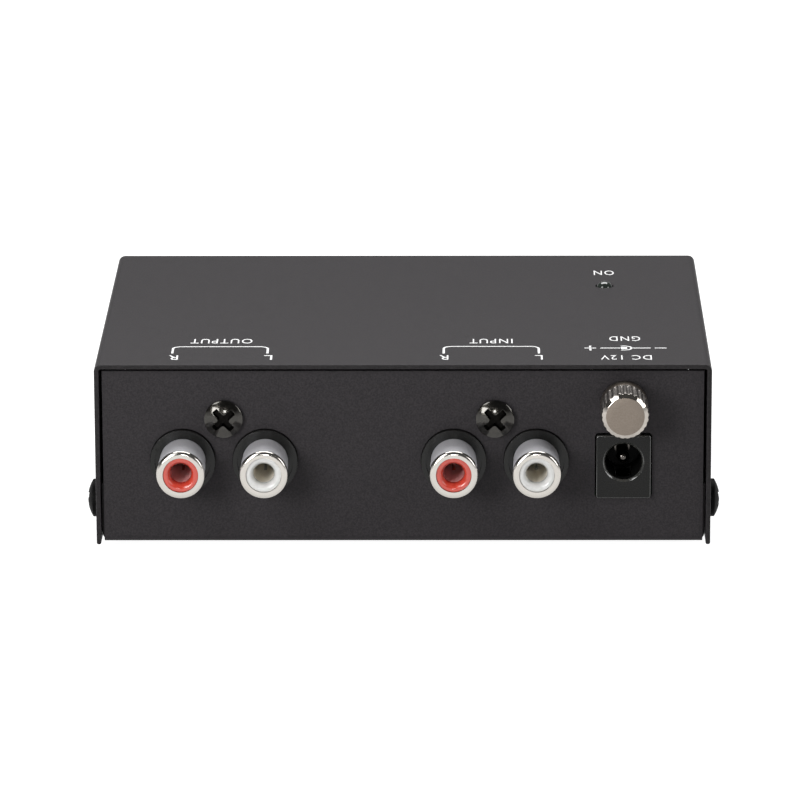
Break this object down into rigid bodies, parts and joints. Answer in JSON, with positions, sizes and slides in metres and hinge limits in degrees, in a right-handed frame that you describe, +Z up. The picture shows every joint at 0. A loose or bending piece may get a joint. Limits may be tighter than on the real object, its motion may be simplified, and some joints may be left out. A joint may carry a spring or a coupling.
{
  "type": "phono preamp",
  "caption": "Small folded-steel phono preamp with red and white phono sockets, a DC power socket and a knurled earth terminal that screws off its post.",
  "frame": {"origin": "on the standing plane under the middle of the whole outline, sockets included", "axes": "+X along the width, to the left when the rear panel is faced; +Y out of the rear panel; +Z up"},
  "size_m": [0.108, 0.0844, 0.0345],
  "materials": {
    "case_paint": "fine-textured black powder coat",
    "screw_black": "glossy black nickel",
    "foot_rubber": "matt",
    "jack_plastic": "satin moulded ABS",
    "nickel": "satin nickel plating with a polished edge",
    "red_insulator": "gloss moulded",
    "white_insulator": "gloss moulded",
    "contact_tin": "tin-plated bronze",
    "dc_plastic": "satin moulded PBT",
    "post_brass": "turned",
    "zinc_steel": "zinc plated",
    "copper_wire": "bare copper",
    "nut_nickel": "nickel plated, knurled",
    "led_lens": "dark green epoxy, unlit",
    "spacer_nylon": "natural nylon",
    "board_green": "solder resist on fibreglass",
    "can_sleeve": "shrunk sleeve",
    "film_body": "epoxy dipped",
    "chip_epoxy": "moulded epoxy",
    "resistor_body": "lacquered"
  },
  "bodies": {
    "case": {"chassis_tray": "case_paint", "top_cover": "case_paint", "feet": "foot_rubber", "side_screws": "screw_black", "output_jack_housing": "jack_plastic", "input_jack_housing": "jack_plastic", "jack_screws": "screw_black", "output_right_barrel": "nickel", "output_right_insulator": "red_insulator", "output_right_contact": "contact_tin", "output_left_barrel": "nickel", "output_left_insulator": "white_insulator", "output_left_contact": "contact_tin", "input_right_barrel": "nickel", "input_right_insulator": "red_insulator", "input_right_contact": "contact_tin", "input_left_barrel": "nickel", "input_left_insulator": "white_insulator", "input_left_contact": "contact_tin", "dc_jack_housing": "dc_plastic", "dc_jack_pin": "contact_tin", "dc_jack_spring": "contact_tin", "ground_post": "post_brass", "ground_lug": "contact_tin", "ground_lock_washer": "zinc_steel", "ground_hex_nut": "post_brass", "ground_wire": "copper_wire", "led": "led_lens", "led_leads": "contact_tin", "led_spacer": "spacer_nylon", "circuit_board": "board_green", "board_standoffs": "zinc_steel", "board_screws": "zinc_steel", "filter_capacitors": "can_sleeve", "coupling_capacitors": "can_sleeve", "film_capacitors": "film_body", "capacitor_leads": "contact_tin", "op_amps": "chip_epoxy", "op_amp_pins": "contact_tin", "voltage_regulator": "chip_epoxy", "regulator_tab": "zinc_steel", "regulator_leads": "contact_tin", "resistors": "resistor_body", "resistor_leads": "contact_tin", "rectifier_diode": "chip_epoxy", "diode_leads": "contact_tin"},
    "washer": {"ground_washer": "nut_nickel"},
    "thumb_nut": {"ground_thumb_nut": "nut_nickel"}
  },
  "joints": [
    {"name": "thumb_nut_travel", "type": "slide", "parent": "case", "child": "washer", "axis": [0, 1, 0], "range_m": [0, 0.0035]},
    {"name": "thumb_nut_turn", "type": "hinge", "parent": "washer", "child": "thumb_nut", "pos_m": [-0.0374, 0.03805, 0.02687], "axis": [0, 1, 0], "range_deg": [0, 1800]}
  ],
  "couplings": [
    {"joint": "thumb_nut_turn", "follows": "thumb_nut_travel", "rad_per_m": 8975.9}
  ]
}
